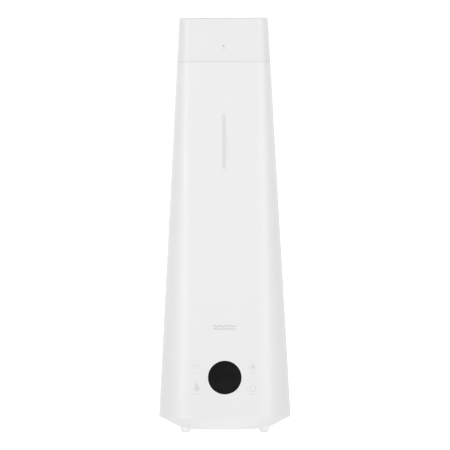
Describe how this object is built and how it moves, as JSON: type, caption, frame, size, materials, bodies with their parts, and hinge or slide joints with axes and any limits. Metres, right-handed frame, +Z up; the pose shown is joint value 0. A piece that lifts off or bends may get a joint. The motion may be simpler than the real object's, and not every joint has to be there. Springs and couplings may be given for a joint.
{
  "type": "cool mist humidifier",
  "caption": "Tall square tower cool mist humidifier with a leaning body, lift-out top-fill tank, turning mist nozzle, round display and touch keys",
  "frame": {"origin": "on the floor under the centre of the tower", "axes": "+Z up, front with the display towards -Y, +X to the right seen from the front"},
  "size_m": [0.2034, 0.2034, 0.64],
  "materials": {
    "housing_white": "fine textured moulding",
    "pan_white": "fine textured moulding",
    "basin_white": "smooth moulding",
    "tank_clear": "translucent moulding",
    "display_black": "polished",
    "window_frosted": "frosted",
    "foot_rubber": "matt",
    "silicone": "satin",
    "steel": "satin",
    "bearing_bronze": "satin",
    "winding_copper": "enamelled wire",
    "aluminium": "satin",
    "black_plastic": "moulded",
    "board_green": "solder mask",
    "connector_cream": "moulded",
    "capacitor_sleeve": "shrink sleeve",
    "contact_foam": "open foam",
    "float_foam": "closed cell foam",
    "ferrite": "matt",
    "filter_foam": "open cell foam",
    "lead_jacket": "PVC jacket"
  },
  "bodies": {
    "base": {"outer_housing": "housing_white", "base_pan": "pan_white", "rubber_foot_1": "foot_rubber", "rubber_foot_2": "foot_rubber", "rubber_foot_3": "foot_rubber", "rubber_foot_4": "foot_rubber", "pan_screws": "steel", "water_basin": "basin_white", "basin_screws": "steel", "deck_gasket": "silicone", "transducer_gasket": "silicone", "transducer_disc": "steel", "transducer_clamp": "aluminium", "clamp_screws": "steel", "float_retainer": "basin_white", "level_sensor": "black_plastic", "fan_housing": "black_plastic", "fan_lid": "black_plastic", "fan_motor": "black_plastic", "fan_bearing": "bearing_bronze", "fan_screws": "steel", "fan_duct": "black_plastic", "main_board": "board_green", "heat_sink": "aluminium", "capacitors": "capacitor_sleeve", "choke_coil": "winding_copper", "connectors": "connector_cream", "board_screws": "steel", "display_lens": "display_black", "digit_module": "black_plastic", "touch_pads": "contact_foam", "display_board": "board_green", "display_screws": "steel", "window_lens": "window_frosted", "power_jack": "black_plastic", "jack_pin": "steel", "power_lead": "lead_jacket", "transducer_lead": "lead_jacket", "fan_lead": "lead_jacket", "display_ribbon": "lead_jacket"},
    "tank": {"water_tank": "tank_clear", "tank_handle": "pan_white", "valve_cap": "basin_white", "cap_gasket": "silicone"},
    "valve": {"valve_stem": "basin_white", "stem_clip": "basin_white", "valve_seal": "silicone", "valve_float": "basin_white"},
    "float": {"level_float": "float_foam", "float_magnet": "ferrite"},
    "fan": {"fan_shaft": "steel", "fan_impeller": "black_plastic"},
    "cap": {"top_cap": "housing_white", "duct_seal": "silicone"},
    "nozzle": {"nozzle_base": "pan_white", "nozzle_cover": "housing_white"},
    "filter_door": {"filter_cover": "housing_white", "air_filter": "filter_foam"}
  },
  "joints": [
    {"name": "tank_lift", "type": "slide", "parent": "base", "child": "tank", "axis": [0, 0, 1], "range_m": [0, 0.47]},
    {"name": "cap_lift", "type": "slide", "parent": "tank", "child": "cap", "axis": [0, 0, 1], "range_m": [0, 0.09]},
    {"name": "nozzle_turn", "type": "hinge", "parent": "cap", "child": "nozzle", "pos_m": [0, 0, 0.632], "axis": [0, 0, 1], "continuous": true},
    {"name": "valve_lift", "type": "slide", "parent": "tank", "child": "valve", "axis": [0, 0, 1], "range_m": [0, 0.0042]},
    {"name": "float_rise", "type": "slide", "parent": "base", "child": "float", "axis": [0, 0, 1], "range_m": [0, 0.0135]},
    {"name": "fan_spin", "type": "hinge", "parent": "base", "child": "fan", "pos_m": [0, 0.036, 0.042], "axis": [0, 0, 1], "continuous": true},
    {"name": "filter_pull", "type": "slide", "parent": "base", "child": "filter_door", "axis": [0, 0.9985, 0.055], "range_m": [0, 0.04]}
  ]
}
